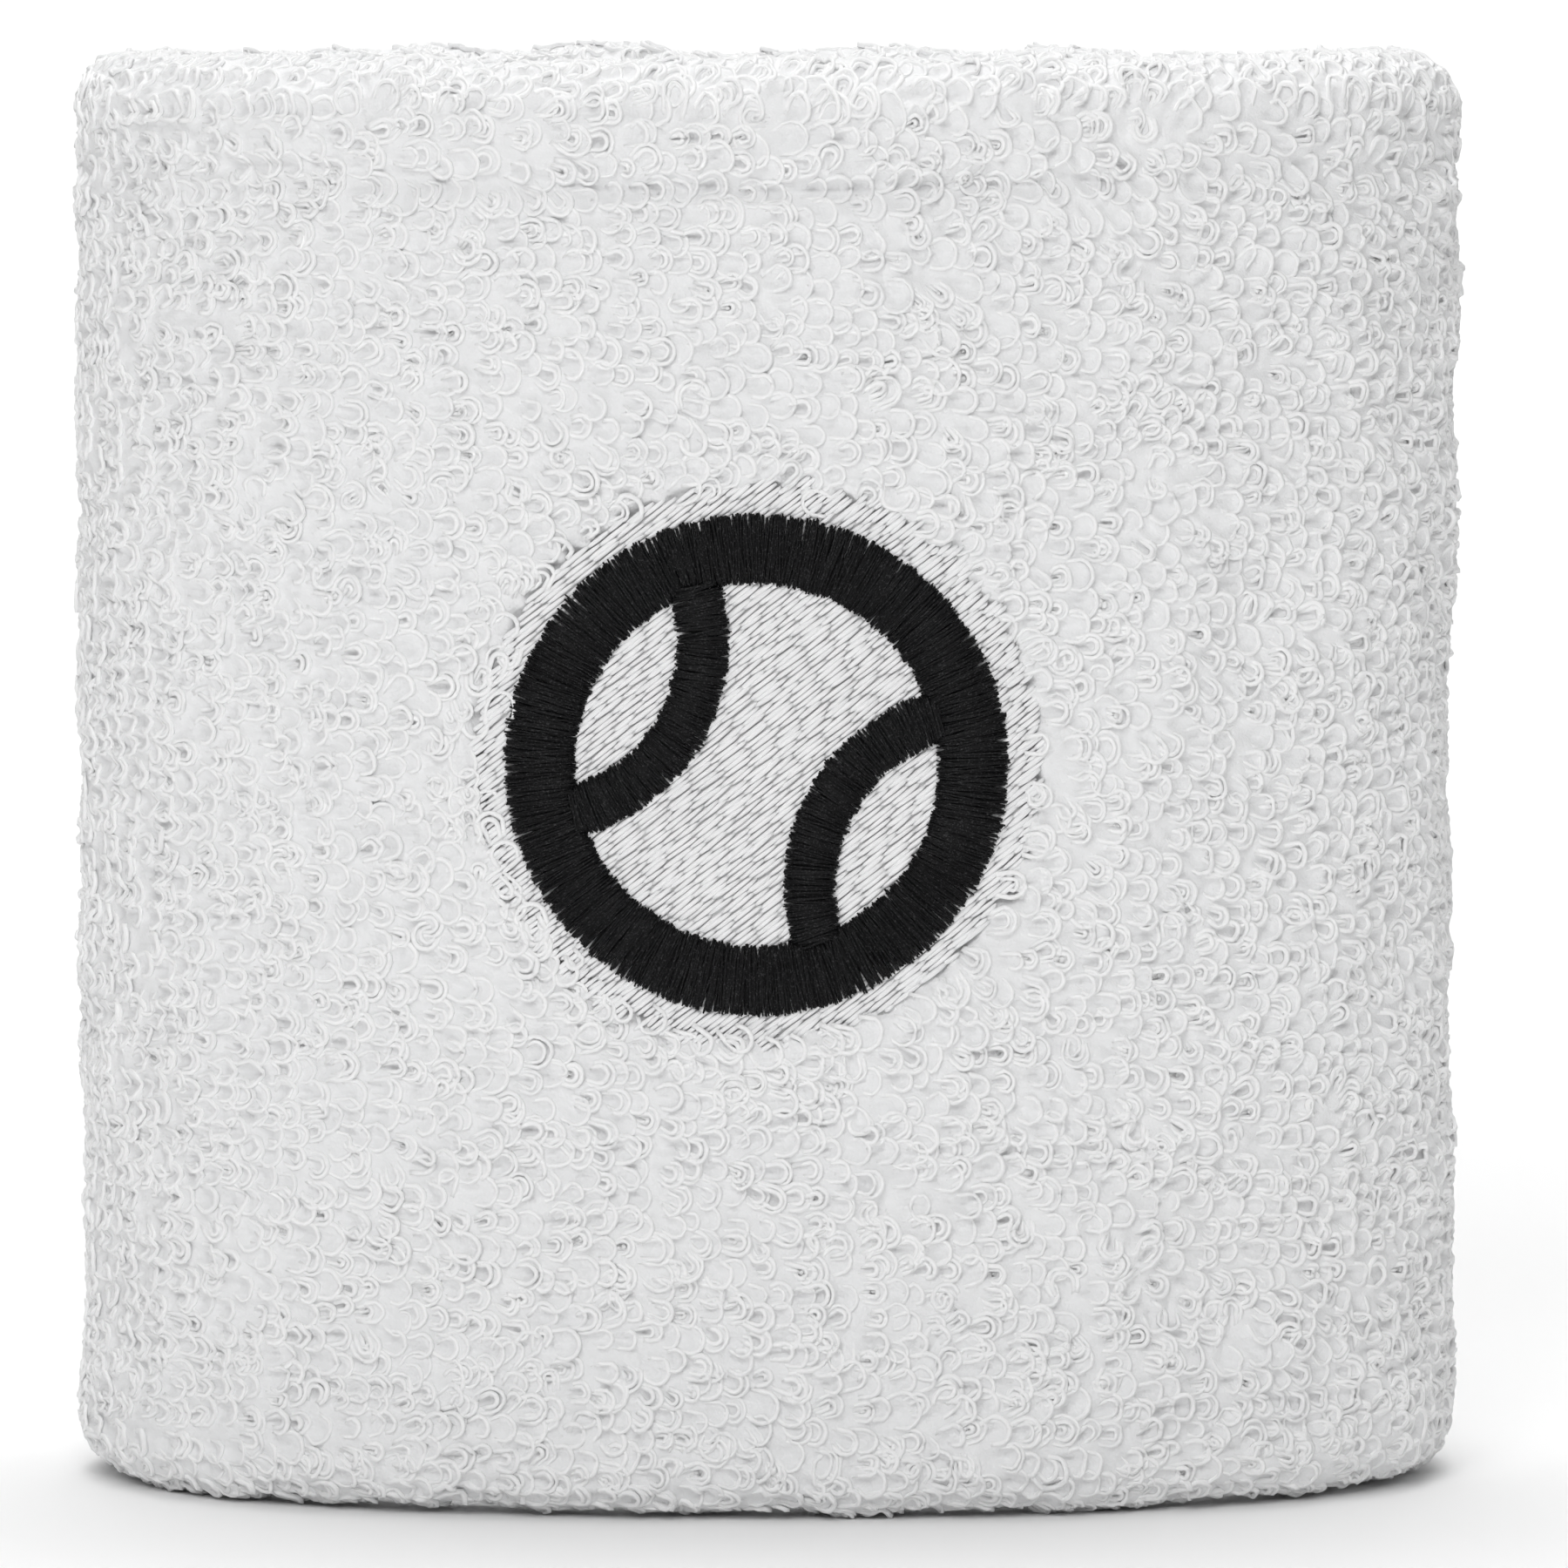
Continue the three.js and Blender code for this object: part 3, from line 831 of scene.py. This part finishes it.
def teeth(count):
    """How far each of a row of stitches runs past the edge: short teeth of uneven length."""
    knots = int(count * SATIN_STEP / TOOTH_PITCH * 2)
    height = rng.uniform(-0.12, 0.02, knots) * MM
    height[::2] = rng.uniform(0.05, 0.24, len(height[::2])) * MM
    place = (np.arange(knots) + rng.uniform(-0.35, 0.35, knots)) / knots * count
    return np.interp(np.arange(count), place, height) + rng.normal(0, 0.04 * MM, count)


def satin(middle, heading, half_width, name, node):
    """Black satin stitches across a line, from its middle points and the way across them."""
    count = len(middle)
    left, right = half_width + teeth(count), half_width + teeth(count)
    slant = rng.normal(0, 0.07, count)
    turned = np.stack([
        heading[:, 0] - slant * heading[:, 1],
        heading[:, 1] + slant * heading[:, 0],
    ], -1)
    depth = SATIN_DEPTH + rng.normal(0, 0.04 * MM, count)
    radius = SATIN_THREAD_RADIUS * rng.uniform(0.8, 1.2, count)
    bulge = rng.uniform(0.28, 0.4, count) * MM
    corners, faces = stitches(
        middle - turned * left[:, None], middle + turned * right[:, None],
        depth, radius, bulge, steps=10, sides=5, flatness=0.85,
    )
    piece = make_piece(name, corners, faces, BLACK)
    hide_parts(node)


def ball_outline():
    """The ball's round outline."""
    middle_radius = BALL_RADIUS - OUTLINE_WIDTH / 2
    count = int(2 * np.pi * middle_radius / SATIN_STEP)
    angle = 2 * np.pi * (np.arange(count) + rng.normal(0, 0.3, count)) / count
    heading = np.stack([np.cos(angle), np.sin(angle)], -1)
    satin(
        middle_radius * heading, heading, OUTLINE_WIDTH / 2,
        "ball_outline_satin", "ball_outline_stitches",
    )


def ball_seam_line(side, name, node):
    """One curved line of the ball, whose ends run up to the outline's inner edge."""
    centre = side * SEAM_LINE_OFFSET
    inner = BALL_RADIUS - OUTLINE_WIDTH
    reach = centre ** 2 + SEAM_LINE_RADIUS ** 2 - inner ** 2
    reach /= 2 * SEAM_LINE_OFFSET * SEAM_LINE_RADIUS
    half_angle = math.acos(reach) + 0.3 * MM / SEAM_LINE_RADIUS
    count = int(2 * half_angle * SEAM_LINE_RADIUS / SATIN_STEP)
    angle = np.linspace(-half_angle, half_angle, count) + (np.pi if side > 0 else 0)
    angle += BALL_TILT
    heading = np.stack([np.cos(angle), np.sin(angle)], -1)
    away = centre * np.array([math.cos(BALL_TILT), math.sin(BALL_TILT)])
    satin(away + SEAM_LINE_RADIUS * heading, heading, SEAM_LINE_WIDTH / 2, name, node)


# ---------------------------------------------------------------- inside

def seam_stitches():
    """The linking thread: stitches that lace the two cut edges together on the wrist side."""
    steps = LINKING_STITCHES * STEPS_IN_A_STITCH
    share = np.arange(steps + 1) / steps * (1 - 0.4 / LINKING_STITCHES)
    wave = 2 * np.pi * LINKING_STITCHES * share
    depth = WALL - 0.55 * MM - 0.15 * MM * np.cos(2 * wave)
    point, out = around(share)
    flat = point + out * (WALL - depth)[:, None]
    up = SEAM_HEIGHT + LINKING_REACH * np.sin(wave)
    line = np.concatenate([flat, up[:, None]], -1)[None]
    facing = np.concatenate([out, np.zeros((len(out), 1))], -1)[None]
    radius = np.full((1, steps + 1), LINKING_THREAD_RADIUS)
    corners, faces = tubes(line, facing, radius, sides=6)
    piece = make_piece("seam_stitches", corners, faces, SEWING)
    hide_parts("linking_thread")


def backing_sheet():
    """The non-woven sheet behind the emblem."""
    corners, faces = disc(WALL / 2 - 0.25 * MM, BACKING_RADIUS, rings=30, spokes=96)
    piece = make_piece("backing_sheet", corners, faces, NONWOVEN)
    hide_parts("emblem_backing")


def bobbin_stitches():
    """The bobbin thread on the reverse of the emblem."""
    start, end = fill_rows(row_gap=0.42 * MM, length=2.1 * MM, ragged=0.2 * MM)
    count = len(start)
    depth = np.full(count, WALL / 2 + 0.35 * MM)
    radius, bulge = np.full(count, BOBBIN_THREAD_RADIUS), np.full(count, -0.08 * MM)
    corners, faces = stitches(start, end, depth, radius, bulge, steps=5, sides=4)
    piece = make_piece("bobbin_stitches", corners, faces, SEWING)
    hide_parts("bobbin_thread")


# ---------------------------------------------------------------- the stage

def stage():
    """A pale floor that sweeps up behind the band."""
    floor_material = Material("pale_floor", 0.9, specular=0.1)
    grain = floor_material.span(floor_material.noise(0.2), 0.0, 1.0)
    floor_material.colour(floor_material.mix(grain, (0.97, 0.97, 0.97), (0.98, 0.98, 0.98)))
    half, front, back, rise, bend = 0.55, -0.6, 1.6, 2.2, 0.6
    profile = [(front, 0.0), (back - bend, 0.0)]
    for angle in np.radians(np.linspace(-90, 0, 17)[1:]):
        profile.append((back - bend + bend * math.cos(angle), bend + bend * math.sin(angle)))
    profile.append((back, rise))
    corners = [(x, y, z) for y, z in profile for x in (-half, half)]
    faces = [(2 * i, 2 * i + 1, 2 * i + 3, 2 * i + 2) for i in range(len(profile) - 1)]
    mesh = bpy.data.meshes.new("floor_sweep")
    mesh.from_pydata(corners, [], faces)
    mesh.shade_smooth()
    mesh.materials.append(floor_material.material)
    floor = bpy.data.objects.new("floor_sweep", mesh)
    bpy.context.scene.collection.objects.link(floor)


def area_light(name, place, target, size, power):
    light = bpy.data.lights.new(name, "AREA")
    light.shape = "DISK"
    light.size = size
    light.energy = power
    lamp = bpy.data.objects.new(name, light)
    lamp.location = place
    lamp.rotation_euler = (Vector(target) - Vector(place)).to_track_quat("-Z", "Y").to_euler()
    bpy.context.scene.collection.objects.link(lamp)


def lights():
    """A soft key above the camera, a wide light overhead, one on the sweep, and a white world that
    the camera sees brighter than it lights."""
    world = bpy.data.worlds.new("studio")
    world.use_nodes = True
    nodes, links = world.node_tree.nodes, world.node_tree.links
    fill, seen = nodes["Background"], nodes.new("ShaderNodeBackground")
    for background, strength in ((fill, 0.22), (seen, 1.0)):
        background.inputs["Color"].default_value = (1, 1, 1, 1)
        background.inputs["Strength"].default_value = strength
    choice, ray = nodes.new("ShaderNodeMixShader"), nodes.new("ShaderNodeLightPath")
    links.new(ray.outputs["Is Camera Ray"], choice.inputs["Fac"])
    links.new(fill.outputs["Background"], choice.inputs[1])
    links.new(seen.outputs["Background"], choice.inputs[2])
    links.new(choice.outputs["Shader"], nodes["World Output"].inputs["Surface"])
    bpy.context.scene.world = world
    middle = (0, 0, HEIGHT / 2)
    area_light("key", (-0.07, -0.47, 0.35), middle, size=0.35, power=1.25)
    area_light("overhead", (0, 0, 1.8), middle, size=1.8, power=8.3)
    area_light("backdrop", (0, 0.5, 1.5), (0, 1.6, 0.4), size=1.4, power=19)
    bpy.context.scene.view_settings.view_transform = "Standard"


def camera():
    """A long lens in front of the band, a little above its middle."""
    distance, height = 0.56, 0.087
    aim = Vector((1.0 * MM, 0, 38.7 * MM))
    lens = bpy.data.cameras.new("camera")
    lens.sensor_width = 36
    lens.lens = 230
    eye = bpy.data.objects.new("camera", lens)
    eye.location = (aim.x, -distance, height)
    eye.rotation_euler = (aim - eye.location).to_track_quat("-Z", "Y").to_euler()
    bpy.context.scene.collection.objects.link(eye)
    bpy.context.scene.camera = eye


def terry():
    """The loops and the bed that they lie on, outside, inside above the seam and below it."""
    outer_loops = Loops(TOP_FOLD_START, BOTTOM_FOLD_END)
    upper_loops = Loops(CUT_MARGIN, TOP_FOLD_START)
    lower_loops = Loops(BOTTOM_FOLD_END, FABRIC_LENGTH - CUT_MARGIN)
    bed = bed_height((outer_loops, upper_loops, lower_loops))
    # Name, loops, from, to, sectors round the band, steps along a strand, sides of a strand.
    loops = (
        ("outside_top", outer_loops, TOP_FOLD_START, WAIST, 8, 12, 4),
        ("outside_foot", outer_loops, WAIST, FABRIC_LENGTH, 8, 12, 4),
        ("inside_top", upper_loops, 0.0, FABRIC_LENGTH, 4, 10, 4),
        ("inside_foot", lower_loops, 0.0, FABRIC_LENGTH, 2, 9, 3),
    )
    for name, group, first, last, sectors, steps, sides in loops:
        terry_loops(f"terry_loops_{name}", group, bed, first, last, sectors, steps, sides)
    # Name, from, to, sectors round the band, distance from one corner to the next.
    beds = (
        ("outside", TOP_FOLD_START, BOTTOM_FOLD_END, 8, 0.25 * MM),
        ("inside_top", 0.0, TOP_FOLD_START, 3, 0.36 * MM),
        ("inside_foot", BOTTOM_FOLD_END, FABRIC_LENGTH, 2, 0.36 * MM),
    )
    for name, first, last, sectors, pitch in beds:
        terry_bed(f"terry_bed_{name}", bed, first, last, sectors, pitch)


camera()
lights()
stage()
terry()
knit = ground_fabric()
white_patch()
ball_outline()
ball_seam_line(-1, "ball_seam_satin_left", "ball_seam_stitches_left")
ball_seam_line(1, "ball_seam_satin_right", "ball_seam_stitches_right")
seam_stitches()
backing_sheet()
bobbin_stitches()
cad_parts["elastic_yarn"].material_slots[0].material = ELASTIC
